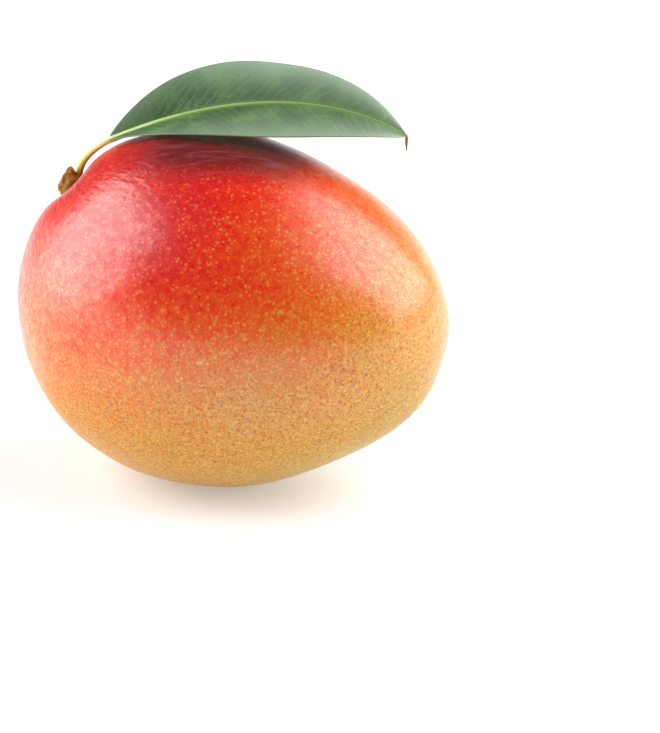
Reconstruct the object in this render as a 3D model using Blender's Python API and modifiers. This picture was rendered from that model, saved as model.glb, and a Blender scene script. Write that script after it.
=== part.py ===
"""A whole ripe mango with the woody stub of its stem and one leaf still growing from it.

Metres, +Z up. The fruit lies on its lower edge, on a small flat spot at Z = 0. Its long axis runs
near X with the stem end at -X, and one broad side faces -Y. The origin is on the surface that it
rests on, under the middle of its box.
"""
import math

import bmesh
import bpy
from mathutils import Matrix, Vector

# The fruit: full sizes along its own axes, X to the tip, Y through it and Z across its broad side
LENGTH = 0.1245
THICKNESS = 0.0905
BREADTH = 0.1000
# How the broad outline departs from an ellipse: wave number, cosine part, sine part
SWELLS = ((1, -0.020, 0.008), (3, 0.033, 0.0), (4, 0.0045, 0.0035))
CENTRE = Vector((-0.0007, -0.0004, 0.0490))
TURN = math.radians(20)
LEAN = math.radians(8)

# Where the stem sits, as an angle from the tip round the broad side, and the hollow round it,
# a short trough that crosses the outline at a slant
BASIN_ANGLE = math.radians(141)
BASIN_SLANT = math.radians(23)
STEM_ANGLE = math.radians(142.3)
BASIN_DEPTH = 0.0036
BASIN_ALONG = 0.0080
BASIN_ACROSS = 0.0160
BEAK_ANGLE = math.radians(-24)
BEAK_HEIGHT = 0.0009
BEAK_RADIUS = 0.0110

# The stub, a short woody knob with an oblique top
STUB_RADIUS = 0.0034
STUB_HEIGHT = 0.0042
STUB_SLOPE = 0.39
STUB_SINK = 0.0022
STUB_ROOT = 0.0022
STUB_TILT = math.radians(8.5)
STUB_CORNER = 0.40
# How its side departs from a circle: wave number, share of the radius, phase
STUB_WAVES = ((3, 0.05, 1.0), (5, 0.03, 0.0))
STUB_REACH = 1 + sum(share for _, share, _ in STUB_WAVES)
KNOBS = (
    (Vector((0.0020, -0.0006, 0.0040)), Vector((0.0014, 0.0016, 0.0012))),
    (Vector((-0.0025, -0.0012, 0.0016)), Vector((0.0013, 0.0014, 0.0013))),
    (Vector((0.0004, -0.0025, 0.0020)), Vector((0.0014, 0.0012, 0.0015))),
)

# The leaf, from the fruit's centre: its midrib is an arch that rises from its base
LEAF_BASE = Vector((-0.0342, 0.0170, 0.0448))
LEAF_LENGTH = 0.0848
LEAF_HALF_WIDTH = 0.0162
LEAF_TURN = math.radians(9)
LEAF_PITCH = math.radians(5)
LEAF_ARCH = 0.0091
LEAF_ARCH_SKEW = 0.16
LEAF_TIP_DROOP = 0.0018
LEAF_FULLNESS = 0.74
LEAF_CROWN = 0.035
BLADE_THICKNESS = 0.0006
BLADE_START = 0.012
BLADE_END = 0.997
# How far the half towards -Y droops and the other half rises, in degrees at the base, middle and tip
NEAR_DROOP = (-10, 16, 25)
FAR_RISE = (95, 31, 49)

# The leaf's stalk, from inside the stub to the blade, in the same frame as LEAF_BASE
STALK_ROUTE = (
    Vector((-0.0440, 0.0222, 0.0313)),
    Vector((-0.0430, 0.0220, 0.0328)),
    Vector((-0.0423, 0.0214, 0.0353)),
    Vector((-0.0411, 0.0203, 0.0381)),
    Vector((-0.0389, 0.0192, 0.0409)),
    Vector((-0.0365, 0.0181, 0.0431)),
)
STALK_RADIUS = 0.00098
MIDRIB_START_RADIUS = 0.00085
MIDRIB_END_RADIUS = 0.00032
# Where along the blade the midrib takes over from the stalk, and how fast it thins
MIDRIB_START = 0.04
MIDRIB_TAPER = 1.5
DRIP_TIP = Vector((0.0001, -0.0002, -0.0042))

# The room that each root has in its hole, and the lengths below which edges and points are joined
GAP = 0.0003
WELD = 0.00001
SAME_PLACE = 1e-6

# How finely each form is faceted: steps round or along it, then steps across it
FRUIT_FACETS = (72, 54)
STUB_FACETS = (24, 18)
KNOB_FACETS = (12, 8)
BLADE_FACETS = (36, 10)
HOLE_SIDES = 32
MIDRIB_STEPS = 24
ROUTE_STEPS = 3
TUBE_ROUNDNESS = 2
SHARP_ANGLE = math.radians(50)

SKIN_COLOUR = (0.60, 0.07, 0.02)
WOOD_COLOUR = (0.22, 0.11, 0.03)
LEAF_COLOUR = (0.06, 0.14, 0.05)

PIECES = "mango"
CUTTERS = "cutters"


def clear_scene():
    for item in list(bpy.data.objects):
        bpy.data.objects.remove(item, do_unlink=True)


def collection(name):
    group = bpy.data.collections.new(name)
    bpy.context.scene.collection.children.link(group)
    return group


def finish(name, colour, roughness):
    """A plain shader with one colour, as linear red, green and blue."""
    material = bpy.data.materials.new(name)
    material.use_nodes = True
    shader = material.node_tree.nodes["Principled BSDF"]
    shader.inputs["Base Color"].default_value = (*colour, 1.0)
    shader.inputs["Roughness"].default_value = roughness
    material.diffuse_color = (*colour, 1.0)
    return material


def add_object(name, mesh, group, material=None):
    item = bpy.data.objects.new(name, mesh)
    group.objects.link(item)
    if material:
        mesh.materials.append(material)
        mesh.shade_smooth()
        mesh.set_sharp_from_angle(angle=SHARP_ANGLE)
    return item


def hide_tool(item):
    item.display_type = "WIRE"
    item.hide_render = True
    return item


def combine(item, other, operation):
    """Leaves a Boolean on the object, which joins the other shape to it or cuts it away."""
    modifier = item.modifiers.new(other.name, "BOOLEAN")
    modifier.operation = operation
    modifier.object = hide_tool(other)
    modifier.solver = "EXACT"


def weld(item):
    """Closes up the shortest edges that joining and cutting leave."""
    modifier = item.modifiers.new("weld", "WELD")
    modifier.merge_threshold = WELD


def ball(name, facets, group):
    segments, rings = facets
    bm = bmesh.new()
    bmesh.ops.create_uvsphere(bm, u_segments=segments, v_segments=rings, radius=1.0)
    mesh = bpy.data.meshes.new(name)
    bm.to_mesh(mesh)
    bm.free()
    return add_object(name, mesh, group)


def quadratic(values, s):
    """A smooth curve through three values, at s = 0, 0.5 and 1."""
    first, middle, last = values
    return first * (1 - s) * (1 - 2 * s) + middle * 4 * s * (1 - s) + last * s * (2 * s - 1)


# The fruit

def broad_direction(angle):
    return Vector((math.cos(angle), 0.0, math.sin(angle)))


def plain_form(direction):
    """The fruit's skin without its basin and beak, from its centre and in its own axes."""
    turn = complex(direction.x, direction.z)
    swell = 1 + sum(c * (turn ** n).real + s * (turn ** n).imag for n, c, s in SWELLS)
    half = Vector((LENGTH / 2 * direction.x, THICKNESS / 2 * direction.y, BREADTH / 2 * direction.z))
    return half * swell


def skin_frame(angle):
    """A place on the broad outline: X runs towards the fruit's top, Z stands out of the skin."""
    step = math.radians(0.1)
    place = plain_form(broad_direction(angle))
    along = plain_form(broad_direction(angle - step)) - plain_form(broad_direction(angle + step))
    x_axis = along.normalized()
    y_axis = Vector((0.0, 1.0, 0.0))
    z_axis = x_axis.cross(y_axis)
    frame = Matrix((x_axis, y_axis, z_axis)).transposed().to_4x4()
    frame.translation = place
    return frame


def skin(direction, basin, beak):
    """The skin with the basin that the stem sits in and the low beak near the tip."""
    place = plain_form(direction)
    from_stem = basin.inverted() @ place
    along = (from_stem.x * math.cos(BASIN_SLANT) + from_stem.y * math.sin(BASIN_SLANT)) / BASIN_ALONG
    across = (from_stem.y * math.cos(BASIN_SLANT) - from_stem.x * math.sin(BASIN_SLANT)) / BASIN_ACROSS
    depth = BASIN_DEPTH * math.exp(-(along ** 2) - across ** 2 - (from_stem.z / BASIN_ACROSS) ** 2)
    from_beak = (place - beak.translation).length
    height = BEAK_HEIGHT * math.exp(-((from_beak / BEAK_RADIUS) ** 2))
    return place - depth * basin.col[2].to_3d() + height * beak.col[2].to_3d()


def crowd_to_pole(point, crowding=0.6):
    """Moves a point of a unit sphere towards +Z, so that its rings lie closer round that pole."""
    polar = math.acos(max(-1.0, min(1.0, point.z)))
    closer = polar - crowding * math.sin(polar)
    around = math.atan2(point.y, point.x)
    return Vector((math.sin(closer) * math.cos(around), math.sin(closer) * math.sin(around), math.cos(closer)))


def make_fruit(pose, parts, material):
    basin = skin_frame(BASIN_ANGLE)
    beak = skin_frame(BEAK_ANGLE)
    to_stem = Matrix.Rotation(math.pi / 2 - BASIN_ANGLE, 3, "Y")
    bm = bmesh.new()
    segments, rings = FRUIT_FACETS
    bmesh.ops.create_uvsphere(bm, u_segments=segments, v_segments=rings, radius=1.0)
    for vert in bm.verts:
        vert.co = skin(to_stem @ crowd_to_pole(vert.co), basin, beak)
    floor = pose.inverted()
    cut = bmesh.ops.bisect_plane(
        bm,
        geom=bm.verts[:] + bm.edges[:] + bm.faces[:],
        dist=SAME_PLACE,
        plane_co=floor.translation,
        plane_no=floor.to_3x3() @ Vector((0.0, 0.0, -1.0)),
        clear_outer=True,
    )
    rim = [piece for piece in cut["geom_cut"] if isinstance(piece, bmesh.types.BMEdge)]
    bmesh.ops.holes_fill(bm, edges=rim, sides=0)
    bmesh.ops.recalc_face_normals(bm, faces=bm.faces[:])
    bmesh.ops.triangulate(bm, faces=[face for face in bm.faces if len(face.verts) == 4])
    mesh = bpy.data.meshes.new("fruit")
    bm.to_mesh(mesh)
    bm.free()
    fruit = add_object("fruit", mesh, parts, material)
    fruit.matrix_world = pose
    return fruit


# The stub of the stem

def stub_frame(pose):
    """On the stub's axis, where it leaves the skin: X towards the fruit's top, Z along the stub."""
    seat = skin_frame(STEM_ANGLE) @ Matrix.Translation((0.0, 0.0, -STUB_SINK))
    return pose @ seat @ Matrix.Rotation(STUB_TILT, 4, "Y")


def stub_surface(point):
    """Turns a point of a unit sphere into one of a short post with an uneven side and a sloping top."""
    around = math.atan2(point.y, point.x)
    uneven = 1
    for number, share, phase in STUB_WAVES:
        uneven += share * math.cos(number * around + phase)
    out = STUB_RADIUS * uneven * math.hypot(point.x, point.y) ** STUB_CORNER
    x = out * math.cos(around)
    y = out * math.sin(around)
    rise = abs(point.z) ** STUB_CORNER
    top = STUB_HEIGHT + STUB_SLOPE * x
    return Vector((x, y, rise * top if point.z > 0 else -rise * STUB_ROOT))


def make_stem(frame, parts, tools, material):
    stem = ball("stem", STUB_FACETS, parts)
    for vert in stem.data.vertices:
        vert.co = stub_surface(vert.co)
    stem.data.materials.append(material)
    stem.data.shade_smooth()
    stem.matrix_world = frame
    for number, (place, radii) in enumerate(KNOBS, 1):
        knob = ball(f"knob_{number}", KNOB_FACETS, tools)
        knob.matrix_world = frame @ Matrix.LocRotScale(place, None, radii)
        combine(stem, knob, "UNION")
    return stem


def make_stem_hole(fruit, frame, tools):
    """A plain shallow hole in the fruit, which the stub's root stands in."""
    depth = STUB_ROOT + GAP
    reach = STUB_HEIGHT
    radius = STUB_RADIUS * STUB_REACH + GAP
    bpy.ops.mesh.primitive_cylinder_add(vertices=HOLE_SIDES, radius=radius, depth=depth + reach)
    hole = bpy.context.object
    hole.name = "stem_hole"
    for group in list(hole.users_collection):
        group.objects.unlink(hole)
    tools.objects.link(hole)
    hole.matrix_world = frame @ Matrix.Translation((0.0, 0.0, (reach - depth) / 2))
    combine(fruit, hole, "DIFFERENCE")


# The leaf

def leaf_axes():
    """Along the leaf, across it towards -Y, and up."""
    forward = Vector((
        math.cos(LEAF_TURN) * math.cos(LEAF_PITCH),
        -math.sin(LEAF_TURN) * math.cos(LEAF_PITCH),
        math.sin(LEAF_PITCH),
    ))
    near = Vector((-math.sin(LEAF_TURN), -math.cos(LEAF_TURN), 0.0))
    return forward, near, forward.cross(near) * -1


def midrib_point(s):
    """The midrib, with s from 0 at the blade's base to 1 at its tip."""
    forward, _, up = leaf_axes()
    arch = LEAF_ARCH * 4 * s * (1 - s) * (1 + LEAF_ARCH_SKEW * (2 * s - 1))
    return LEAF_BASE + LEAF_LENGTH * s * forward + (arch - LEAF_TIP_DROOP * s ** 10) * up


def blade_point(s, t):
    """The blade's middle surface, with t from -1 at the far margin through the midrib to 1 at the near one."""
    _, near, up = leaf_axes()
    half_width = LEAF_HALF_WIDTH * math.sin(math.pi * s) ** LEAF_FULLNESS
    side = 1 if t > 0 else -1
    angle = math.radians(quadratic(NEAR_DROOP if t > 0 else FAR_RISE, s))
    across = side * (math.cos(angle) * near - math.sin(angle) * up)
    out_of = math.sin(angle) * near + math.cos(angle) * up
    crown = LEAF_CROWN * 4 * abs(t) * (1 - abs(t))
    return midrib_point(s) + half_width * (abs(t) * across + crown * out_of)


def make_blade(tools):
    rows, columns = BLADE_FACETS
    bm = bmesh.new()
    bmesh.ops.create_grid(bm, x_segments=rows, y_segments=columns, size=1.0)
    for vert in bm.verts:
        share = (1 - math.cos(math.pi * (vert.co.x + 1) / 2)) / 2
        t = vert.co.y
        vert.co = blade_point(BLADE_START + (BLADE_END - BLADE_START) * share, t)
    bmesh.ops.triangulate(bm, faces=bm.faces[:])
    mesh = bpy.data.meshes.new("blade")
    bm.to_mesh(mesh)
    bm.free()
    blade = add_object("blade", mesh, tools)
    solid = blade.modifiers.new("thickness", "SOLIDIFY")
    solid.thickness = BLADE_THICKNESS
    solid.offset = 0.0
    return blade


def smooth_route(points, steps):
    """Points along a smooth curve through the given ones, a few to each stretch."""
    route = []
    ends = [points[0] * 2 - points[1], *points, points[-1] * 2 - points[-2]]
    for before, start, end, after in zip(ends, ends[1:], ends[2:], ends[3:]):
        for step in range(steps):
            u = step / steps
            route.append((
                2 * start
                + (end - before) * u
                + (2 * before - 5 * start + 4 * end - after) * u ** 2
                + (3 * start - before - 3 * end + after) * u ** 3
            ) / 2)
    return route + [points[-1]]


def tube(name, route, radii, tools):
    """A round rod along the route, with a radius at each point, made into a closed mesh."""
    curve = bpy.data.curves.new(name, "CURVE")
    curve.dimensions = "3D"
    curve.bevel_depth = 1.0
    curve.bevel_resolution = TUBE_ROUNDNESS
    curve.use_fill_caps = True
    spline = curve.splines.new("POLY")
    spline.points.add(len(route) - 1)
    for point, place, radius in zip(spline.points, route, radii):
        point.co = (*place, 1.0)
        point.radius = radius
    rod = bpy.data.objects.new(name, curve)
    tools.objects.link(rod)
    depsgraph = bpy.context.evaluated_depsgraph_get()
    mesh = bpy.data.meshes.new_from_object(rod.evaluated_get(depsgraph))
    bpy.data.objects.remove(rod)
    bm = bmesh.new()
    bm.from_mesh(mesh)
    bmesh.ops.remove_doubles(bm, verts=bm.verts[:], dist=SAME_PLACE)
    bmesh.ops.recalc_face_normals(bm, faces=bm.faces[:])
    bm.to_mesh(mesh)
    bm.free()
    return add_object(name, mesh, tools)


def make_leaf(parts, tools, material):
    stalk = smooth_route([*STALK_ROUTE, midrib_point(0.0), midrib_point(MIDRIB_START)], ROUTE_STEPS)
    steps = range(1, MIDRIB_STEPS + 1)
    midrib = [midrib_point(MIDRIB_START + (1 - MIDRIB_START) * step / MIDRIB_STEPS) for step in steps]
    tip = midrib_point(1.0) + DRIP_TIP
    radii = [STALK_RADIUS] * len(stalk)
    for step in steps:
        taper = (1 - step / MIDRIB_STEPS) ** MIDRIB_TAPER
        radii.append(MIDRIB_END_RADIUS + (MIDRIB_START_RADIUS - MIDRIB_END_RADIUS) * taper)
    rib = tube("midrib", [*stalk, *midrib, tip], [*radii, MIDRIB_END_RADIUS], tools)
    blade = make_blade(tools)
    combine(blade, rib, "UNION")
    weld(blade)
    depsgraph = bpy.context.evaluated_depsgraph_get()
    mesh = bpy.data.meshes.new_from_object(blade.evaluated_get(depsgraph))
    mesh.name = "leaf"
    for tool in (blade, rib):
        bpy.data.objects.remove(tool)
    leaf = add_object("leaf", mesh, parts, material)
    leaf.location = CENTRE
    return leaf


def make_stalk_hole(stem, tools):
    """The hole in the stub that the leaf's stalk grows out of."""
    start = STALK_ROUTE[0] + (STALK_ROUTE[0] - STALK_ROUTE[1]).normalized() * GAP
    route = smooth_route([start, *STALK_ROUTE[1:-1]], ROUTE_STEPS)
    hole = tube("stalk_hole", route, [STALK_RADIUS + GAP] * len(route), tools)
    hole.location = CENTRE
    combine(stem, hole, "DIFFERENCE")


def main():
    clear_scene()
    parts = collection(PIECES)
    tools = collection(CUTTERS)
    pose = Matrix.Translation(CENTRE) @ Matrix.Rotation(-TURN, 4, "Z") @ Matrix.Rotation(-LEAN, 4, "X")
    frame = stub_frame(pose)
    fruit = make_fruit(pose, parts, finish("skin", SKIN_COLOUR, 0.35))
    stem = make_stem(frame, parts, tools, finish("wood", WOOD_COLOUR, 0.75))
    make_leaf(parts, tools, finish("leaf", LEAF_COLOUR, 0.30))
    make_stem_hole(fruit, frame, tools)
    make_stalk_hole(stem, tools)
    for item in (fruit, stem):
        weld(item)
    bpy.context.view_layer.update()


main()
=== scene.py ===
"""The mango's finish: its waxy dotted skin, the woody stub of its stem and the glossy veined leaf.

Metres, in the frame of the solids: +Z up, the fruit resting at Z = 0, the camera looking along +Y.
"""

import math

import bmesh
import bpy
import numpy as np
from mathutils import Matrix, Vector


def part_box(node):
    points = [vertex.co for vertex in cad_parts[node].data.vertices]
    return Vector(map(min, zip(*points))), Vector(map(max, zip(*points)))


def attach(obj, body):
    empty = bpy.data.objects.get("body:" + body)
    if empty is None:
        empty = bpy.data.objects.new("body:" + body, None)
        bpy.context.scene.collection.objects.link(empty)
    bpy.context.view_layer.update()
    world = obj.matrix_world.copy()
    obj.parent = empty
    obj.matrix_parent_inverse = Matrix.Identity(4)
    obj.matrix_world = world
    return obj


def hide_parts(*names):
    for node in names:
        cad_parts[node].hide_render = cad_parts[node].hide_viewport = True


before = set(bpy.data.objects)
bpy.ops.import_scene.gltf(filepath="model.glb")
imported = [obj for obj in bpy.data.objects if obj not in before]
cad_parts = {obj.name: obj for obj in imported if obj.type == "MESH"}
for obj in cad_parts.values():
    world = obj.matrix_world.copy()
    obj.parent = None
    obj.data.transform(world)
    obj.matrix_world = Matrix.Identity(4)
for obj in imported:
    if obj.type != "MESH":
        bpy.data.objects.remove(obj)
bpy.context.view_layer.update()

# The fruit, as the solids have it
LENGTH = 0.1245
THICKNESS = 0.0905
BREADTH = 0.1000
SWELLS = ((1, -0.020, 0.008), (3, 0.033, 0.0), (4, 0.0045, 0.0035))
TURN = math.radians(20)
LEAN = math.radians(8)
BASIN_ANGLE = math.radians(141)
BASIN_SLANT = math.radians(23)
STEM_ANGLE = math.radians(142.3)
BASIN_DEPTH = 0.0036
BASIN_ALONG = 0.0080
BASIN_ACROSS = 0.0160
BEAK_ANGLE = math.radians(-24)
BEAK_HEIGHT = 0.0009
BEAK_RADIUS = 0.0110
CENTRE = Vector((-0.0007, -0.0004, 0.0490))
POSE = Matrix.Translation(CENTRE) @ Matrix.Rotation(-TURN, 4, "Z") @ Matrix.Rotation(-LEAN, 4, "X")

# The stub of the stem, as the solids have it
STUB_RADIUS = 0.0034
STUB_HEIGHT = 0.0042
STUB_SLOPE = 0.39
STUB_SINK = 0.0022
STUB_ROOT = 0.0022
STUB_TILT = math.radians(8.5)
STUB_CORNER = 0.40
KNOBS = (
    (Vector((0.0020, -0.0006, 0.0040)), Vector((0.0014, 0.0016, 0.0012))),
    (Vector((-0.0025, -0.0012, 0.0016)), Vector((0.0013, 0.0014, 0.0013))),
    (Vector((0.0004, -0.0025, 0.0020)), Vector((0.0014, 0.0012, 0.0015))),
)

# The leaf, as the solids have it, from the fruit's centre
LEAF_BASE = Vector((-0.0342, 0.0170, 0.0448))
LEAF_LENGTH = 0.0848
LEAF_HALF_WIDTH = 0.0162
LEAF_TURN = math.radians(9)
LEAF_PITCH = math.radians(5)
LEAF_ARCH = 0.0091
LEAF_ARCH_SKEW = 0.16
LEAF_TIP_DROOP = 0.0018
LEAF_FULLNESS = 0.74
LEAF_CROWN = 0.035
BLADE_START = 0.012
BLADE_END = 0.997
NEAR_DROOP = (-10, 16, 25)
FAR_RISE = (95, 31, 49)
STALK_ROUTE = (
    Vector((-0.0440, 0.0222, 0.0313)),
    Vector((-0.0430, 0.0220, 0.0328)),
    Vector((-0.0423, 0.0214, 0.0353)),
    Vector((-0.0411, 0.0203, 0.0381)),
    Vector((-0.0389, 0.0192, 0.0409)),
    Vector((-0.0365, 0.0181, 0.0431)),
)
STALK_RADIUS = 0.00098
MIDRIB_START_RADIUS = 0.00085
MIDRIB_END_RADIUS = 0.00032
DRIP_TIP = Vector((0.0001, -0.0002, -0.0042))

# How finely each form is faceted: steps round or along it, then steps across it
FRUIT_FACETS = (320, 240)
STUB_FACETS = (160, 120)
BLADE_FACETS = (320, 96)
STALK_STEPS = 14
MIDRIB_STEPS = 150
TIP_STEPS = 8
TUBE_SIDES = 32
TIP_SIDES = 24

# The sum of waves that makes a surface uneven: their number, and the spread of their sizes
WAVES_IN_SUM = 14
WAVE_SPREAD = (0.6, 1.4)
# The small angle over which the outline's direction is taken
OUTLINE_STEP = math.radians(0.1)

# The low hills of the skin, as height and width, and how far the facets crowd towards the stem
SKIN_HILLS = ((0.00022, 0.020), (0.00007, 0.008))
POLE_CROWDING = 0.5

# The bark: the stub's uneven outline as wave number, share of the radius and phase, then its relief
STUB_WAVES = ((3, 0.05, 1.0), (5, 0.03, 0.0))
KNOB_SWELL = 0.0007
LUMP_HEIGHT = 0.00020
LUMP_SIZE = 0.0016
RIDGE_HEIGHT = 0.00014
RIDGE_SIZE = 0.0006
RIDGE_STRETCH = (1.0, 1.0, 0.5)
FURROWS = 9
FURROW_DEPTH = 0.00016
FURROW_WANDER = 0.002
FURROW_SHARPNESS = 6
TOP_HOLLOW = 0.0007
# The broken top, in shares of the stub's radius: the hollow's edge, and the rim's middle and width
HOLLOW_EDGE = 0.75
RIM_MIDDLE = 0.62
RIM_WIDTH = 0.22

# The blade: half its thickness at the margin, what it gains inside, and its slow waves
MARGIN_HALF_THICKNESS = 0.00013
INNER_GAIN = 0.00007
MARGIN_SHARPNESS = 8
BLADE_WAVE_HEIGHT = 0.00016
BLADE_WAVE_SIZE = 0.013
# Its side veins: their spacing at the midrib, how they slant and curve forwards, and their relief
VEIN_SPACING = 0.0031
VEIN_SLANT = 0.62
VEIN_CURVE = 22.0
NEAR_VEIN_OFFSET = 0.45
VEIN_WIDTH = 0.10
VEIN_RUN_IN = 0.002
UPPER_VEIN_HEIGHT = 0.00002
LOWER_VEIN_HEIGHT = 0.00005
UPPER_PILLOW = 0.00003
LOWER_PILLOW = 0.00002

# The midrib: where it takes over from the stalk and how it thins, and the drip tip at its end
MIDRIB_START = 0.04
MIDRIB_SPAN = 0.955
MIDRIB_FULLNESS = 1.15
MIDRIB_TAPER = 1.5
MIDRIB_LIFT = 0.00010
MIDRIB_LIFT_RATE = 6
TIP_START = 0.985
TIP_BEND = 0.45
TIP_END_RADIUS = 0.00008
TIP_SWELL = 0.00040
TIP_OPENING = 0.12
TIP_SHAPE = 0.8

# The skin's ripeness, 0 where it is full red: its change per metre along X, Y and Z, and its colours
RIPENESS_SLOPE = (2.5, 2.1, -6.35)
RIPENESS_AT_ORIGIN = 0.665
RIPENESS_COLOURS = (
    (0.00, (212, 8, 14)),
    (0.07, (234, 36, 4)),
    (0.16, (236, 84, 4)),
    (0.27, (230, 126, 18)),
    (0.38, (218, 148, 38)),
    (0.60, (186, 152, 36)),
    (0.85, (138, 136, 44)),
)
DOT_COLOURS = (
    (0.00, (240, 104, 70)),
    (0.14, (246, 152, 60)),
    (0.45, (238, 182, 88)),
)
# In each pair of limits in the looks below, the feature is full at the first and gone at the second
LOW_SKIN = (0.30, 0.14)
DARK_FLECK_GRAIN = (0.34, 0.48)
LIGHT_FLECK_GRAIN = (0.70, 0.54)
DARK_FLECK = (182, 84, 18)
LIGHT_FLECK = (246, 178, 84)
# The sizes of its clouds, mottles, grain, dots and specks, and how much the first three shift its ripeness
CLOUD_SIZE = 0.026
MOTTLE_SIZE = 0.0024
SKIN_GRAIN_SIZE = 0.0007
DOT_SPACING = 0.00122
SPECK_SPACING = 0.00150
CLOUD_SHIFT = 0.22
MOTTLE_SHIFT = 0.22
GRAIN_SHIFT = 0.28
DOT_SHRINK = 0.32
DOT_RAGGEDNESS = 0.22
DOT_SHARE = 0.70
DOT_LIMITS = (0.27, 0.52)
SPECK_COLOUR = (116, 58, 8)
SPECK_SHARE = 0.60
SPECK_LIMITS = (0.10, 0.22)
SPECK_RIPENESS = (0.32, 0.20)
SCAR_COLOUR = (84, 40, 18)
SCAR_RAGGEDNESS = 0.002
SCAR_LIMITS = (0.0045, 0.0065)
# The crown under the leaf, partly the skin's own deep blush and partly painted shade from the leaf: which
# way it faces, its colour and limits, and the pale painted reflections across it
CROWN_DIRECTION = (0.06, 0.50, 0.865)
CROWN_RAGGEDNESS = 0.006
BLUSH_AND_PAINTED_SHADE_COLOUR = (88, 10, 10)
CROWN_SHARE = 0.88
CROWN_LIMITS = (0.0825, 0.0725)
CROWN_LEFT = (-0.014, -0.034)
CROWN_RIGHT = (0.012, 0.034)
CROWN_BACK = (0.017, 0.034)
PAINTED_REFLECTION_COLOUR = (166, 104, 118)
PAINTED_REFLECTION_SHARE = 0.22
PAINTED_REFLECTION_LIMITS = (0.66, 0.50)
LINE_SIZE = 0.0015
LINE_STRETCH = (0.10, 1.0, 1.0)
LINE_TURN = (0.0, 0.25, 0.10)
# The wax: thinner low on the fruit, with streaks all over it and rays that run out from the stem
WAX_OFFSET = 0.10
LOW_WAX = (0.024, 0.042)
LOW_WAX_LOSS = 0.45
RAY_REACH = (0.030, 0.085)
STREAK_SIZE = 0.0036
STREAK_STRETCH = (0.30, 1.0, 1.0)
STREAK_TURN = (0.0, 0.35, 0.0)
STREAK_SHARE = 0.45
RAY_SIZE = 0.045
WAX_RELIEF = 0.00026
SKIN_RELIEF = 0.00004
DOT_RELIEF_SHARE = 0.5

# The stub's look
BARK_COLOURS = (
    (0.30, (134, 94, 16)),
    (0.48, (172, 130, 36)),
    (0.66, (214, 180, 98)),
)
RUST_COLOUR = (226, 110, 30)
BARK_FOOT_COLOUR = (112, 92, 18)
RUST_GRAIN = (0.75, 0.35)
RUST_SHARE = 0.85
BARK_FOOT = (0.05, 0.40)
BARK_FOOT_SHARE = 0.6
BARK_PATCH_SIZE = 0.0016
BARK_GRAIN_SIZE = 0.0005
BARK_RELIEF = 0.00022

# The leaf's look
BLADE_COLOURS = (
    (0.38, (30, 66, 18)),
    (0.50, (56, 94, 40)),
    (0.62, (94, 132, 72)),
)
BLADE_PAINTED_SHEEN = (162, 184, 160)
BLADE_BASE_COLOUR = (136, 164, 120)
VEIN_COLOUR = (150, 178, 118)
RIB_EDGE_COLOUR = (104, 142, 70)
UNDERSIDE_COLOUR = (120, 142, 84)
MARGIN_COLOUR = (132, 118, 56)
PATCH_SHARE = 0.60
TIPWARD = (0.62, 0.10)
# Its painted sheen, a pale tint standing in for the gloss's reflection: how strong it is at the base's
# margin, and what the tip's margin and the whole tip gain
MARGIN_GREY = 0.30
TIP_MARGIN_GREY = 0.50
TIP_GREY = 0.17
# The share of that painted sheen which the near half has, and what the far half has beyond it
NEAR_HALF_GREY = 0.80
FAR_HALF_GAIN = 0.25
BASE_REACH = (0.10, 0.27)
BASE_SHARE = 0.42
VEIN_LIMITS = (0.02, 0.22)
VEIN_SHARE = 0.24
VEIN_RELIEF_SHARE = 0.8
RIB_RAGGEDNESS = 0.0012
RIB_LIMITS = (0.0009, 0.0026)
RIB_SHARE = 0.7
UNDERSIDE_SHARE = 0.7
MARGIN_LIMITS = (0.999, 0.972)
MARGIN_SHARE = 0.8
BLADE_PATCH_SIZE = 0.010
BLADE_GRAIN_SIZE = 0.0005
VEIN_WANDER_SIZE = 0.0050
VEIN_WANDER = 1.3
VEIN_BREAK_SIZE = 0.002
BLADE_RELIEF = 0.00006
# Along the stalk and midrib: the palest stops, where the stalk runs into the blade, are partly its own pale
# green and partly a painted highlight
MIDRIB_COLOURS_WITH_HIGHLIGHT = (
    (0.06, (176, 160, 20)),
    (0.16, (222, 226, 92)),
    (0.30, (228, 242, 158)),
    (0.44, (220, 242, 170)),
    (0.54, (162, 200, 108)),
    (0.95, (128, 156, 110)),
)
MIDRIB_MOTTLE = (160, 176, 70)
STALK_UNDERSIDE = (116, 92, 10)
MIDRIB_MOTTLE_SHARE = 0.20
STALK_BELOW = (-0.95, -0.15)
STALK_REACH = (0.24, 0.36)
STALK_UNDERSIDE_SHARE = 0.9
MIDRIB_GRAIN_SIZE = 0.0008
MIDRIB_RELIEF = 0.00008
TIP_COLOURS = (
    (0.20, (150, 160, 80)),
    (0.40, (170, 120, 40)),
    (0.95, (110, 62, 20)),
)
TIP_MOTTLE = (90, 56, 20)
TIP_MOTTLE_SHARE = 0.4
TIP_GRAIN_SIZE = 0.0005
TIP_RELIEF = 0.00005

# The camera, as the photograph has it: the fruit's centre lies left of the picture's middle and above it
CAMERA_DISTANCE = 0.900
CAMERA_ELEVATION = math.radians(22)
PIXEL = 0.000281
PICTURE_HEIGHT = 733
SIDEWAYS = 0.0283
DOWNWARDS = 0.0154
SENSOR_WIDTH = 36.0

# The studio. Each soft lamp has a name, azimuth, elevation, distance, width and height, and brightness
LAMPS = (
    ("left_box", -95, 27, 0.80, (0.70, 0.82), 4.9),
    ("right_box", 94, 35, 0.80, (0.94, 0.84), 4.2),
    ("back_box", 156, 3, 1.40, (0.90, 0.30), 1.1),
)
SKY_BRIGHTNESS = 0.10
FLOOR_SIZE = 8.0
FLOOR_DROP = 0.0002
FLOOR_COLOUR = (0.84, 0.86, 0.90)
# The floor's own glow by the fruit and far away, and where it changes
NEAR_GLOW = 0.30
FAR_GLOW = 0.90
GLOW_START = 0.25
GLOW_END = 0.85


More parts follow.
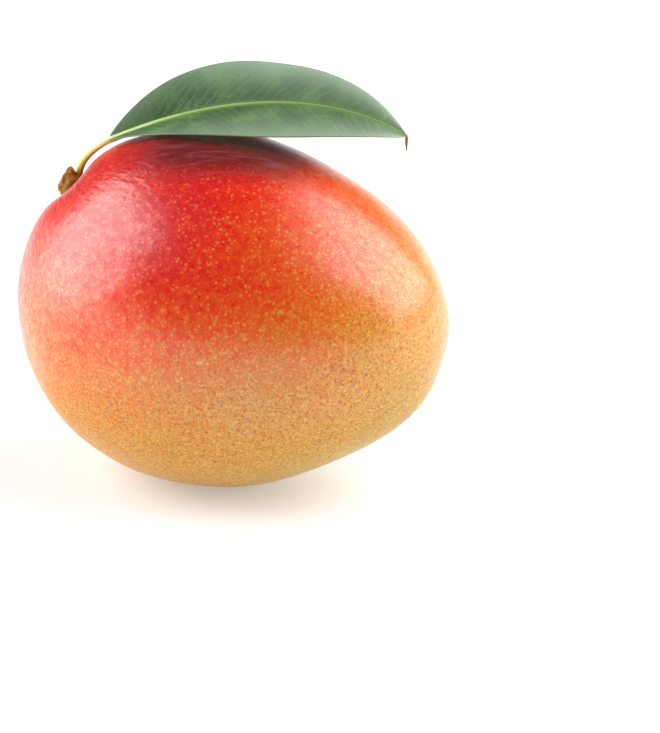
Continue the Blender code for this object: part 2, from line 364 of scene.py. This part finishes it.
def linear(red, green, blue):
    """A colour given as 0 to 255 on a screen, as the linear value that a shader takes."""
    shares = [value / 255 for value in (red, green, blue)]
    return tuple(((c + 0.055) / 1.055) ** 2.4 if c > 0.04 else c / 12.92 for c in shares)


class Shader:
    """A material's nodes, with short calls for the few kinds that the finishes use."""

    def __init__(self, name):
        self.material = bpy.data.materials.new(name)
        self.material.use_nodes = True
        self.tree = self.material.node_tree
        self.principled = self.tree.nodes["Principled BSDF"]

    def node(self, kind, inputs=(), **settings):
        made = self.tree.nodes.new("ShaderNode" + kind)
        for key, value in settings.items():
            setattr(made, key, value)
        for key, value in dict(inputs).items():
            self.put(made.inputs[key], value)
        return made

    def put(self, socket, value):
        if isinstance(value, bpy.types.NodeSocket):
            self.tree.links.new(value, socket)
        elif socket.type == "RGBA" and len(value) == 3:
            socket.default_value = (*value, 1.0)
        else:
            socket.default_value = value

    def set(self, **values):
        """Sets the main shader's sockets, with underscores for the spaces in their names."""
        for key, value in values.items():
            self.put(self.principled.inputs[key.replace("_", " ")], value)

    def place(self):
        return self.node("TexCoord").outputs["Object"]

    def attribute(self, name, output="Fac"):
        return self.node("Attribute", attribute_name=name).outputs[output]

    def math(self, operation, a, b, c=0.0):
        return self.node("Math", {0: a, 1: b, 2: c}, operation=operation).outputs[0]

    def along(self, vector, direction):
        made = self.node("VectorMath", {0: vector, 1: direction}, operation="DOT_PRODUCT")
        return made.outputs["Value"]

    def stretch(self, vector, scale, turn):
        return self.node("Mapping", {"Vector": vector, "Scale": scale, "Rotation": turn}).outputs["Vector"]

    def product(self, first, *others):
        for other in others:
            first = self.math("MULTIPLY", first, other)
        return first

    def noise(self, vector, size, detail=3.0, roughness=0.5):
        inputs = {"Vector": vector, "Scale": 1 / size, "Detail": detail, "Roughness": roughness}
        return self.node("TexNoise", inputs).outputs["Fac"]

    def shift(self, value, noise, amount):
        """The value moved up or down by the noise, whose middle is 0.5."""
        return self.math("ADD", value, self.math("MULTIPLY", self.math("SUBTRACT", noise, 0.5), amount))

    def cells(self, vector, size):
        return self.node("TexVoronoi", {"Vector": vector, "Scale": 1 / size})

    def fade(self, value, start, end):
        """1 where the value is at start, 0 where it is at end, the same beyond each, and smooth between."""
        inputs = {"Value": value, "From Min": start, "From Max": end, "To Min": 1.0, "To Max": 0.0}
        return self.node("MapRange", inputs, interpolation_type="SMOOTHSTEP", clamp=True).outputs["Result"]

    def ramp(self, value, stops):
        made = self.node("ValToRGB", {"Fac": value})
        elements = made.color_ramp.elements
        for number, (position, colour) in enumerate(stops):
            element = elements[number] if number < 2 else elements.new(position)
            element.position = position
            element.color = (*linear(*colour), 1.0)
        return made.outputs["Color"]

    def lay(self, over, under, *masks):
        """Lays one colour over another, as far as the product of the masks says."""
        made = self.node("Mix", data_type="RGBA")
        factor, first, second = made.inputs[0], made.inputs[6], made.inputs[7]
        self.put(factor, self.product(*masks))
        self.put(first, under)
        self.put(second, linear(*over) if isinstance(over, tuple) else over)
        return made.outputs[2]

    def bump(self, height, distance, below=None):
        inputs = {"Height": height, "Distance": distance, "Strength": 1.0}
        if below:
            inputs["Normal"] = below
        return self.node("Bump", inputs).outputs["Normal"]


def mesh_from(name, points, faces):
    mesh = bpy.data.meshes.new(name)
    mesh.from_pydata([tuple(p) for p in points], [], faces)
    mesh.validate()
    bm = bmesh.new()
    bm.from_mesh(mesh)
    bmesh.ops.recalc_face_normals(bm, faces=bm.faces[:])
    bm.to_mesh(mesh)
    bm.free()
    return mesh


def add_numbers(mesh, name, values):
    """Stores one number for each of the mesh's points, which its material reads by that name."""
    layer = mesh.attributes.new(name, "FLOAT", "POINT")
    layer.data.foreach_set("value", np.asarray(values, dtype=np.float32))


def ball_mesh(name, facets):
    """A ball of radius 1 with its poles on Z, and its points, to be moved into a form."""
    around_steps, polar_steps = facets
    bm = bmesh.new()
    bmesh.ops.create_uvsphere(bm, u_segments=around_steps, v_segments=polar_steps, radius=1.0)
    mesh = bpy.data.meshes.new(name)
    bm.to_mesh(mesh)
    bm.free()
    return mesh, np.array([v.co for v in mesh.vertices])


def add_object(name, data):
    made = bpy.data.objects.new(name, data)
    bpy.context.scene.collection.objects.link(made)
    return made


def add_piece(name, mesh, material, node):
    """Puts a finished mesh in the scene, in place of one node of the solids."""
    piece = add_object(name, mesh)
    mesh.materials.append(material)
    mesh.shade_smooth()
    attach(piece, "root")
    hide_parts(node)


def uneven(points, size, seed):
    """Smooth noise, mostly from -1 to 1, at each point, with hills about that size."""
    draw = np.random.default_rng(seed)
    way = draw.normal(size=(WAVES_IN_SUM, 3))
    rate = np.pi / size * draw.uniform(*WAVE_SPREAD, WAVES_IN_SUM)
    way *= (rate / np.linalg.norm(way, axis=1))[:, None]
    phase = draw.uniform(0, 2 * np.pi, WAVES_IN_SUM)
    return np.sin(points @ way.T + phase).sum(axis=1) / math.sqrt(WAVES_IN_SUM)


def quadratic(values, s):
    """A smooth curve through three values, at s = 0, 0.5 and 1."""
    first, middle, last = values
    return first * (1 - s) * (1 - 2 * s) + middle * 4 * s * (1 - s) + last * s * (2 * s - 1)


# The fruit

def plain_form(direction):
    """Points of the skin without its basin and beak, in the fruit's axes, for rows of unit vectors."""
    x, y, z = direction.T
    turn = x + 1j * z
    swell = 1 + sum(c * (turn ** n).real + s * (turn ** n).imag for n, c, s in SWELLS)
    half = np.array((LENGTH, THICKNESS, BREADTH)) / 2
    return direction * half * swell[:, None]


def broad_point(angle):
    return plain_form(np.array([[math.cos(angle), 0.0, math.sin(angle)]]))[0]


def skin_frame(angle):
    """A place on the broad outline: X runs towards the fruit's top, Z stands out of the skin."""
    before, after = broad_point(angle - OUTLINE_STEP), broad_point(angle + OUTLINE_STEP)
    along = Vector(before - after).normalized()
    y_axis = Vector((0.0, 1.0, 0.0))
    made = Matrix((along, y_axis, along.cross(y_axis))).transposed().to_4x4()
    made.translation = broad_point(angle)
    return made


def fruit_skin(direction):
    """The skin with its basin and its beak."""
    place = plain_form(direction)
    basin = np.array(skin_frame(BASIN_ANGLE))
    beak = np.array(skin_frame(BEAK_ANGLE))
    x, y, z = ((place - basin[:3, 3]) @ basin[:3, :3]).T
    along = (x * math.cos(BASIN_SLANT) + y * math.sin(BASIN_SLANT)) / BASIN_ALONG
    across = (y * math.cos(BASIN_SLANT) - x * math.sin(BASIN_SLANT)) / BASIN_ACROSS
    depth = BASIN_DEPTH * np.exp(-along ** 2 - across ** 2 - (z / BASIN_ACROSS) ** 2)
    from_beak = np.linalg.norm(place - beak[:3, 3], axis=1)
    height = BEAK_HEIGHT * np.exp(-(from_beak / BEAK_RADIUS) ** 2)
    return place - depth[:, None] * basin[:3, 2] + height[:, None] * beak[:3, 2]


def make_fruit():
    mesh, ball = ball_mesh("fruit_skin", FRUIT_FACETS)
    polar = np.arccos(np.clip(ball[:, 2], -1, 1))
    closer = polar - POLE_CROWDING * np.sin(polar)
    around = np.arctan2(ball[:, 1], ball[:, 0])
    side = np.sin(closer)
    crowded = np.stack((side * np.cos(around), side * np.sin(around), np.cos(closer)), axis=1)
    to_stem = np.array(Matrix.Rotation(math.pi / 2 - BASIN_ANGLE, 3, "Y"))
    direction = crowded @ to_stem.T
    points = fruit_skin(direction)
    hills = sum(height * uneven(points, width, seed) for seed, (height, width) in enumerate(SKIN_HILLS, 1))
    rough = points + direction * hills[:, None]
    pose = np.array(POSE)
    world = rough @ pose[:3, :3].T + pose[:3, 3]
    low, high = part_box("fruit")
    world = np.clip(world, np.array(low), np.array(high))
    mesh.vertices.foreach_set("co", world.ravel())
    mesh.update()
    seat = np.array(skin_frame(STEM_ANGLE).translation)
    from_stem = np.linalg.norm(points - seat, axis=1)
    add_numbers(mesh, "from_stem", from_stem)
    rays = mesh.attributes.new("ray", "FLOAT_VECTOR", "POINT")
    rays.data.foreach_set("vector", ((points - seat) / from_stem[:, None]).astype(np.float32).ravel())
    add_piece("fruit_skin", mesh, skin_finish(), "fruit")


def skin_finish():
    """Red near the stem, through orange to olive yellow below, with pale dots and brown specks."""
    s = Shader("mango_skin")
    place = s.place()
    sideways = s.along(place, (1.0, 0.0, 0.0))
    backwards = s.along(place, (0.0, 1.0, 0.0))
    upwards = s.along(place, (0.0, 0.0, 1.0))
    cloud = s.noise(place, CLOUD_SIZE, detail=2.0)
    mottle = s.noise(place, MOTTLE_SIZE, detail=3.0, roughness=0.6)
    grain = s.noise(place, SKIN_GRAIN_SIZE, detail=3.0, roughness=0.65)
    ripeness = s.math("ADD", s.along(place, RIPENESS_SLOPE), RIPENESS_AT_ORIGIN)
    ripeness = s.shift(ripeness, cloud, CLOUD_SHIFT)
    ripeness = s.shift(ripeness, mottle, MOTTLE_SHIFT)
    ripeness = s.shift(ripeness, grain, GRAIN_SHIFT)
    colour = s.ramp(ripeness, RIPENESS_COLOURS)
    low = s.fade(ripeness, *LOW_SKIN)
    colour = s.lay(DARK_FLECK, colour, s.fade(grain, *DARK_FLECK_GRAIN), low)
    colour = s.lay(LIGHT_FLECK, colour, s.fade(grain, *LIGHT_FLECK_GRAIN), low)
    # Each dot's own random number shrinks it, so that they come in all sizes
    dots = s.cells(place, DOT_SPACING)
    spread = s.math("MULTIPLY_ADD", dots.outputs["Color"], DOT_SHRINK, dots.outputs["Distance"])
    pale = s.fade(s.shift(spread, grain, DOT_RAGGEDNESS), *DOT_LIMITS)
    colour = s.lay(s.ramp(ripeness, DOT_COLOURS), colour, pale, DOT_SHARE)
    # The crown's deep red, part blush and part painted shade under the leaf, fades out to the left, to the
    # right and down the back
    crown = s.math("MULTIPLY_ADD", cloud, CROWN_RAGGEDNESS, s.along(place, CROWN_DIRECTION))
    blush_and_painted_shade = s.product(
        s.fade(crown, *CROWN_LIMITS),
        s.fade(sideways, *CROWN_LEFT),
        s.fade(sideways, *CROWN_RIGHT),
        s.fade(backwards, *CROWN_BACK),
    )
    colour = s.lay(BLUSH_AND_PAINTED_SHADE_COLOUR, colour, blush_and_painted_shade, CROWN_SHARE)
    # Pale lilac streaks over the crown are a painted reflection of the leaf's underside
    painted_reflection_lines = s.noise(s.stretch(place, LINE_STRETCH, LINE_TURN), LINE_SIZE, detail=2.0)
    colour = s.lay(PAINTED_REFLECTION_COLOUR, colour, s.fade(painted_reflection_lines, *PAINTED_REFLECTION_LIMITS), blush_and_painted_shade, PAINTED_REFLECTION_SHARE)
    specks = s.cells(place, SPECK_SPACING).outputs["Distance"]
    brown = s.product(s.fade(specks, *SPECK_LIMITS), s.fade(ripeness, *SPECK_RIPENESS))
    colour = s.lay(SPECK_COLOUR, colour, brown, SPECK_SHARE)
    from_stem = s.attribute("from_stem")
    scar = s.math("MULTIPLY_ADD", mottle, SCAR_RAGGEDNESS, from_stem)
    colour = s.lay(SCAR_COLOUR, colour, s.fade(scar, *SCAR_LIMITS))
    # The wax is uneven, and thinner on the underside
    thickness = s.math("SUBTRACT", s.math("ADD", grain, mottle), WAX_OFFSET)
    shine = s.product(thickness, s.math("MULTIPLY_ADD", s.fade(upwards, *LOW_WAX), -LOW_WAX_LOSS, 1.0))
    rays = s.noise(s.attribute("ray", "Vector"), RAY_SIZE, detail=2.0, roughness=0.6)
    rays = s.product(rays, s.fade(from_stem, *RAY_REACH))
    streaks = s.noise(s.stretch(place, STREAK_STRETCH, STREAK_TURN), STREAK_SIZE, detail=2.0)
    wax = s.bump(s.math("MULTIPLY_ADD", streaks, STREAK_SHARE, rays), WAX_RELIEF)
    s.set(Base_Color=colour, Roughness=0.42, Specular_IOR_Level=0.10)
    s.set(Coat_Weight=shine, Coat_IOR=1.70, Coat_Roughness=0.30, Coat_Normal=wax)
    s.set(Normal=s.bump(s.math("MULTIPLY_ADD", pale, DOT_RELIEF_SHARE, grain), SKIN_RELIEF, wax))
    return s.material


# The stub of the stem

def make_stem():
    mesh, ball = ball_mesh("stem_stub", STUB_FACETS)
    x, y, z = ball.T
    around = np.arctan2(y, x)
    side = np.hypot(x, y)
    ragged = 1 + sum(share * np.cos(wave * around + phase) for wave, share, phase in STUB_WAVES)
    out = STUB_RADIUS * ragged * side ** STUB_CORNER
    rise = np.abs(z) ** STUB_CORNER
    top = STUB_HEIGHT + STUB_SLOPE * out * np.cos(around)
    points = np.stack((
        out * np.cos(around),
        out * np.sin(around),
        np.where(z > 0, rise * top, -rise * STUB_ROOT),
    ), axis=1)
    outward = np.stack((x, y, z), axis=1)
    for place, radii in KNOBS:
        near = np.linalg.norm((points - np.array(place)) / np.array(radii), axis=1)
        points += outward * (KNOB_SWELL * np.exp(-near ** 2))[:, None]
    lumps = LUMP_HEIGHT * uneven(points, LUMP_SIZE, seed=3)
    ridges = RIDGE_HEIGHT * uneven(points * RIDGE_STRETCH, RIDGE_SIZE, seed=4)
    wander = 2 * uneven(points, FURROW_WANDER, seed=5)
    furrows = FURROW_DEPTH * np.abs(np.sin(FURROWS * around + wander)) ** FURROW_SHARPNESS * side
    points += outward * (lumps + ridges - furrows)[:, None]
    points[:, 2] -= TOP_HOLLOW * np.clip(1 - side / HOLLOW_EDGE, 0, 1) * (z > 0)
    seat = skin_frame(STEM_ANGLE) @ Matrix.Translation((0.0, 0.0, -STUB_SINK))
    to_world = np.array(POSE @ seat @ Matrix.Rotation(STUB_TILT, 4, "Y"))
    mesh.vertices.foreach_set("co", (points @ to_world[:3, :3].T + to_world[:3, 3]).ravel())
    mesh.update()
    rim = np.exp(-((side - RIM_MIDDLE) / RIM_WIDTH) ** 2) * (z > 0)
    add_numbers(mesh, "rim", rim)
    add_numbers(mesh, "height", points[:, 2] / STUB_HEIGHT)
    add_piece("stem_stub", mesh, bark_finish(), "stem")


def bark_finish():
    """Olive brown bark with a rusty rim round the broken top."""
    s = Shader("stub_bark")
    place = s.place()
    coarse = s.noise(place, BARK_PATCH_SIZE, detail=4.0, roughness=0.6)
    fine = s.noise(place, BARK_GRAIN_SIZE, detail=3.0, roughness=0.6)
    colour = s.ramp(coarse, BARK_COLOURS)
    colour = s.lay(RUST_COLOUR, colour, s.attribute("rim"), s.fade(fine, *RUST_GRAIN), RUST_SHARE)
    foot = s.fade(s.attribute("height"), *BARK_FOOT)
    colour = s.lay(BARK_FOOT_COLOUR, colour, foot, BARK_FOOT_SHARE)
    s.set(Base_Color=colour, Roughness=0.5, Specular_IOR_Level=0.4)
    s.set(Normal=s.bump(s.math("ADD", coarse, fine), BARK_RELIEF))
    return s.material


# The leaf

def leaf_axes():
    """Along the leaf, across it towards -Y, and up."""
    forward = Vector((
        math.cos(LEAF_TURN) * math.cos(LEAF_PITCH),
        -math.sin(LEAF_TURN) * math.cos(LEAF_PITCH),
        math.sin(LEAF_PITCH),
    ))
    near = Vector((-math.sin(LEAF_TURN), -math.cos(LEAF_TURN), 0.0))
    return np.array(forward), np.array(near), np.array(near.cross(forward))


def midrib_points(s):
    """The midrib, with s from 0 at the blade's base to 1 at its tip."""
    forward, _, up = leaf_axes()
    arch = LEAF_ARCH * 4 * s * (1 - s) * (1 + LEAF_ARCH_SKEW * (2 * s - 1)) - LEAF_TIP_DROOP * s ** 10
    return np.array(CENTRE + LEAF_BASE) + LEAF_LENGTH * s[..., None] * forward + arch[..., None] * up


def blade_points(s, t):
    """The blade's middle surface: t is -1 at the far margin, 0 on the midrib and 1 at the near margin."""
    _, near, up = leaf_axes()
    half_width = LEAF_HALF_WIDTH * np.sin(np.pi * s) ** LEAF_FULLNESS
    angle = np.radians(np.where(t > 0, quadratic(NEAR_DROOP, s), quadratic(FAR_RISE, s)))[..., None]
    across = np.where(t > 0, 1, -1)[..., None] * (np.cos(angle) * near - np.sin(angle) * up)
    out_of = np.sin(angle) * near + np.cos(angle) * up
    crown = (LEAF_CROWN * 4 * np.abs(t) * (1 - np.abs(t)))[..., None]
    return midrib_points(s) + half_width[..., None] * (np.abs(t)[..., None] * across + crown * out_of)


def vein_phase(s, t):
    """Counts the side veins from the base, a whole number on each; also the distance from the midrib."""
    across = LEAF_HALF_WIDTH * np.sin(np.pi * s) ** LEAF_FULLNESS * np.abs(t)
    start = LEAF_LENGTH * s - VEIN_SLANT * across - VEIN_CURVE * across ** 2
    return start / VEIN_SPACING + np.where(t > 0, NEAR_VEIN_OFFSET, 0.0), across


def blade_faces(rows, columns):
    """The quads of the upper side, of the lower side, and of the band round the margin that joins them."""
    count = rows * columns
    faces = []
    for i in range(rows - 1):
        for j in range(columns - 1):
            a = i * columns + j
            b, c, d = a + 1, a + 1 + columns, a + columns
            faces.append((a, b, c, d))
            faces.append((count + d, count + c, count + b, count + a))
    ring = [i * columns for i in range(rows)]
    ring += [(rows - 1) * columns + j for j in range(1, columns)]
    ring += [i * columns + columns - 1 for i in range(rows - 2, -1, -1)]
    ring += [j for j in range(columns - 2, 0, -1)]
    for a, b in zip(ring, ring[1:] + ring[:1]):
        faces.append((a, b, count + b, count + a))
    return faces


def make_blade():
    rows, columns = BLADE_FACETS
    share = (1 - np.cos(np.pi * np.linspace(0, 1, rows))) / 2
    lengthwise = BLADE_START + (BLADE_END - BLADE_START) * share
    s, t = np.meshgrid(lengthwise, np.linspace(-1, 1, columns), indexing="ij")
    middle = blade_points(s, t)
    normal = np.cross(np.gradient(middle, axis=1), np.gradient(middle, axis=0))
    normal /= np.linalg.norm(normal, axis=2)[..., None]
    phase, width = vein_phase(s, t)
    vein = np.exp(-((phase - np.round(phase)) / VEIN_WIDTH) ** 2)
    pillow = np.cos(2 * np.pi * phase)
    edge = 1 - np.abs(t) ** MARGIN_SHARPNESS
    strength = np.clip(width / VEIN_RUN_IN, 0, 1) * edge
    waves = uneven(middle.reshape(-1, 3), BLADE_WAVE_SIZE, seed=6).reshape(s.shape)
    waves = BLADE_WAVE_HEIGHT * waves * np.abs(t)
    half = MARGIN_HALF_THICKNESS + INNER_GAIN * edge
    above = half + waves + (UPPER_VEIN_HEIGHT * vein - UPPER_PILLOW * pillow) * strength
    below = half - waves + (LOWER_VEIN_HEIGHT * vein + LOWER_PILLOW * pillow) * strength
    upper = middle + normal * above[..., None]
    lower = middle - normal * below[..., None]
    points = np.concatenate((upper.reshape(-1, 3), lower.reshape(-1, 3)))
    mesh = mesh_from("leaf_blade", points, blade_faces(rows, columns))
    numbers = {"phase": phase, "across": width, "margin": np.abs(t), "lengthwise": s, "far_half": t < 0}
    for name, values in numbers.items():
        add_numbers(mesh, name, np.tile(values.ravel(), 2))
    add_numbers(mesh, "under", np.repeat((0.0, 1.0), rows * columns))
    add_piece("leaf_blade", mesh, blade_finish(), "leaf")


def blade_finish():
    """Deep green, paler towards the margins and the tip with a painted sheen, with faint side veins and a
    lighter underside.
    """
    s = Shader("leaf_green")
    place = s.place()
    margin = s.attribute("margin")
    lengthwise = s.attribute("lengthwise")
    far_half = s.attribute("far_half")
    patch = s.noise(place, BLADE_PATCH_SIZE, detail=3.0)
    grain = s.noise(place, BLADE_GRAIN_SIZE, detail=3.0, roughness=0.65)
    tone = s.math("MULTIPLY_ADD", patch, PATCH_SHARE, s.math("MULTIPLY", grain, 1 - PATCH_SHARE))
    colour = s.ramp(tone, BLADE_COLOURS)
    colour = s.lay(BLADE_BASE_COLOUR, colour, s.fade(lengthwise, *BASE_REACH), far_half, BASE_SHARE)
    # A pale painted sheen, strongest at the margins and the tip, and more on the far half
    tipward = s.fade(lengthwise, *TIPWARD)
    at_margin = s.math("MULTIPLY_ADD", tipward, TIP_MARGIN_GREY, MARGIN_GREY)
    painted_sheen = s.product(s.math("POWER", margin, 2.0), at_margin)
    painted_sheen = s.math("MULTIPLY_ADD", tipward, TIP_GREY, painted_sheen)
    by_half = s.math("MULTIPLY_ADD", far_half, FAR_HALF_GAIN, NEAR_HALF_GREY)
    colour = s.lay(BLADE_PAINTED_SHEEN, colour, painted_sheen, by_half)
    wander = s.noise(place, VEIN_WANDER_SIZE, detail=3.0)
    off_vein = s.math("PINGPONG", s.shift(s.attribute("phase"), wander, VEIN_WANDER), 0.5)
    vein = s.product(s.fade(off_vein, *VEIN_LIMITS), s.noise(place, VEIN_BREAK_SIZE, detail=2.0))
    colour = s.lay(VEIN_COLOUR, colour, vein, VEIN_SHARE)
    from_rib = s.math("MULTIPLY_ADD", grain, RIB_RAGGEDNESS, s.attribute("across"))
    colour = s.lay(RIB_EDGE_COLOUR, colour, s.fade(from_rib, *RIB_LIMITS), RIB_SHARE)
    colour = s.lay(UNDERSIDE_COLOUR, colour, s.attribute("under"), UNDERSIDE_SHARE)
    colour = s.lay(MARGIN_COLOUR, colour, s.fade(margin, *MARGIN_LIMITS), MARGIN_SHARE)
    s.set(Base_Color=colour, Roughness=0.36, Specular_IOR_Level=0.6)
    s.set(Normal=s.bump(s.math("MULTIPLY_ADD", vein, VEIN_RELIEF_SHARE, grain), BLADE_RELIEF))
    return s.material


def smooth_route(points, steps):
    """Points along a smooth curve through the given ones, a few to each stretch."""
    route = []
    ends = [points[0] * 2 - points[1], *points, points[-1] * 2 - points[-2]]
    for before, start, end, after in zip(ends, ends[1:], ends[2:], ends[3:]):
        for step in range(steps):
            u = step / steps
            route.append((
                2 * start
                + (end - before) * u
                + (2 * before - 5 * start + 4 * end - after) * u ** 2
                + (3 * start - before - 3 * end + after) * u ** 3
            ) / 2)
    return route + [points[-1]]


def tube_mesh(name, route, radii, sides):
    """A closed rod along the route, with a radius at each point; returns it with each point's direction."""
    route = np.array(route)
    tangent = np.gradient(route, axis=0)
    tangent /= np.linalg.norm(tangent, axis=1)[:, None]
    _, near, _ = leaf_axes()
    first = np.cross(near, tangent)
    first /= np.linalg.norm(first, axis=1)[:, None]
    second = np.cross(tangent, first)
    angles = np.linspace(0, 2 * np.pi, sides, endpoint=False)
    rings = []
    for place, up, side, radius in zip(route, first, second, radii):
        rings.append(place + radius * (np.cos(angles)[:, None] * up + np.sin(angles)[:, None] * side))
    points = np.concatenate((*rings, route[:1], route[-1:]))
    faces = []
    for i in range(len(route) - 1):
        for j in range(sides):
            k = (j + 1) % sides
            faces.append((i * sides + j, i * sides + k, (i + 1) * sides + k, (i + 1) * sides + j))
    start, end = len(points) - 2, len(points) - 1
    last = (len(route) - 1) * sides
    for j in range(sides):
        k = (j + 1) % sides
        faces.append((start, k, j))
        faces.append((end, last + j, last + k))
    mesh = mesh_from(name, points, faces)
    upwards = np.concatenate((np.tile(np.cos(angles), len(route)), (0.0, 0.0)))
    return mesh, upwards


def round_the_rod(values, sides):
    """One number for each place on a rod's route, for all of its points and the middles of both ends."""
    return np.concatenate((np.repeat(values, sides), (values[0], values[-1])))


def make_midrib():
    _, _, up = leaf_axes()
    stalk = [point + CENTRE for point in STALK_ROUTE]
    start = [Vector(point) for point in midrib_points(np.array((0.0, MIDRIB_START)))]
    stalk = smooth_route([*stalk, *start], STALK_STEPS)
    share = np.linspace(0, 1, MIDRIB_STEPS + 1)[1:]
    lift = MIDRIB_LIFT * np.minimum(1, share * MIDRIB_LIFT_RATE)
    midrib = midrib_points(MIDRIB_START + MIDRIB_SPAN * share) + lift[:, None] * up
    thinning = (MIDRIB_START_RADIUS * MIDRIB_FULLNESS - MIDRIB_END_RADIUS) * (1 - share) ** MIDRIB_TAPER
    radii = np.concatenate((np.full(len(stalk), STALK_RADIUS), MIDRIB_END_RADIUS + thinning))
    route = np.concatenate((np.array(stalk), midrib))
    mesh, upwards = tube_mesh("leaf_midrib", route, radii, TUBE_SIDES)
    add_numbers(mesh, "upwards", upwards)
    add_numbers(mesh, "lengthwise", round_the_rod(np.linspace(0, 1, len(route)), TUBE_SIDES))
    add_piece("leaf_midrib", mesh, midrib_finish(), "leaf")


def midrib_finish():
    """Yellow green stalk, olive brown underneath, that pales to green along the blade, with a painted
    highlight where the stalk meets the blade.
    """
    s = Shader("midrib_green")
    grain = s.noise(s.place(), MIDRIB_GRAIN_SIZE, detail=3.0, roughness=0.6)
    lengthwise = s.attribute("lengthwise")
    # The palest band of this ramp is partly a painted highlight
    colour = s.ramp(lengthwise, MIDRIB_COLOURS_WITH_HIGHLIGHT)
    colour = s.lay(MIDRIB_MOTTLE, colour, grain, MIDRIB_MOTTLE_SHARE)
    below = s.fade(s.attribute("upwards"), *STALK_BELOW)
    stalk = s.fade(lengthwise, *STALK_REACH)
    colour = s.lay(STALK_UNDERSIDE, colour, below, stalk, STALK_UNDERSIDE_SHARE)
    s.set(Base_Color=colour, Roughness=0.28, Normal=s.bump(grain, MIDRIB_RELIEF))
    return s.material


def make_drip_tip():
    start, corner = (Vector(point) for point in midrib_points(np.array((TIP_START, 1.0))))
    end = corner + DRIP_TIP
    route = smooth_route([start, corner, corner.lerp(end, TIP_BEND), end], TIP_STEPS)
    share = np.linspace(0, 1, len(route))
    opened = TIP_OPENING + (1 - TIP_OPENING) * share
    radii = TIP_END_RADIUS + TIP_SWELL * np.sin(np.pi * opened ** TIP_SHAPE) ** TIP_SHAPE
    mesh, _ = tube_mesh("leaf_drip_tip", route, radii, TIP_SIDES)
    add_numbers(mesh, "lengthwise", round_the_rod(share, TIP_SIDES))
    add_piece("leaf_drip_tip", mesh, tip_finish(), "leaf")


def tip_finish():
    """Dull green that turns brown towards its end."""
    s = Shader("drip_tip_brown")
    grain = s.noise(s.place(), TIP_GRAIN_SIZE, detail=3.0)
    colour = s.ramp(s.attribute("lengthwise"), TIP_COLOURS)
    colour = s.lay(TIP_MOTTLE, colour, grain, TIP_MOTTLE_SHARE)
    s.set(Base_Color=colour, Roughness=0.5, Normal=s.bump(grain, TIP_RELIEF))
    return s.material


# The camera, the floor and the light

def make_camera():
    data = bpy.data.cameras.new("camera")
    data.sensor_width = SENSOR_WIDTH
    data.lens = SENSOR_WIDTH * CAMERA_DISTANCE / PIXEL / PICTURE_HEIGHT
    camera = add_object("camera", data)
    camera.rotation_euler = (math.pi / 2 - CAMERA_ELEVATION, 0.0, 0.0)
    look = camera.rotation_euler.to_matrix()
    camera.location = CENTRE + look @ Vector((SIDEWAYS, -DOWNWARDS, CAMERA_DISTANCE))
    bpy.context.scene.camera = camera


def direction_to(azimuth, elevation):
    """A unit vector: azimuth 0 is towards -Y and the camera, and 90 towards +X, both in degrees."""
    a, e = math.radians(azimuth), math.radians(elevation)
    return Vector((math.sin(a) * math.cos(e), -math.cos(a) * math.cos(e), math.sin(e)))


def soft_box(name, azimuth, elevation, distance, size, brightness):
    """A large soft lamp facing the fruit; its brightness is that of its face, where 1 is plain white."""
    data = bpy.data.lights.new(name, "AREA")
    data.shape = "RECTANGLE"
    data.size, data.size_y = size
    data.energy = brightness * math.pi * size[0] * size[1]
    lamp = add_object(name, data)
    way = direction_to(azimuth, elevation)
    lamp.location = CENTRE + way * distance
    lamp.rotation_euler = way.to_track_quat("Z", "Y").to_euler()
    lamp.visible_camera = False


def make_floor():
    """A white floor whose own glow rises with the distance from the fruit."""
    bpy.ops.mesh.primitive_plane_add(size=FLOOR_SIZE, location=(0.0, 0.0, -FLOOR_DROP))
    floor = bpy.context.object
    floor.name = "floor"
    s = Shader("floor_white")
    s.set(Base_Color=FLOOR_COLOUR, Roughness=0.9, Specular_IOR_Level=0.1)
    away = s.node("VectorMath", {0: s.place()}, operation="LENGTH").outputs["Value"]
    glow = s.math("MULTIPLY_ADD", s.fade(away, GLOW_START, GLOW_END), NEAR_GLOW - FAR_GLOW, FAR_GLOW)
    s.set(Emission_Color=(1.0, 1.0, 1.0), Emission_Strength=glow)
    floor.data.materials.append(s.material)


def make_studio():
    scene = bpy.context.scene
    scene.view_settings.view_transform = "Standard"
    world = bpy.data.worlds.new("studio")
    world.use_nodes = True
    background = world.node_tree.nodes["Background"]
    background.inputs["Color"].default_value = (1.0, 1.0, 1.0, 1.0)
    background.inputs["Strength"].default_value = SKY_BRIGHTNESS
    scene.world = world
    make_floor()
    for lamp in LAMPS:
        soft_box(*lamp)


make_camera()
make_studio()
make_fruit()
make_stem()
make_blade()
make_midrib()
make_drip_tip()
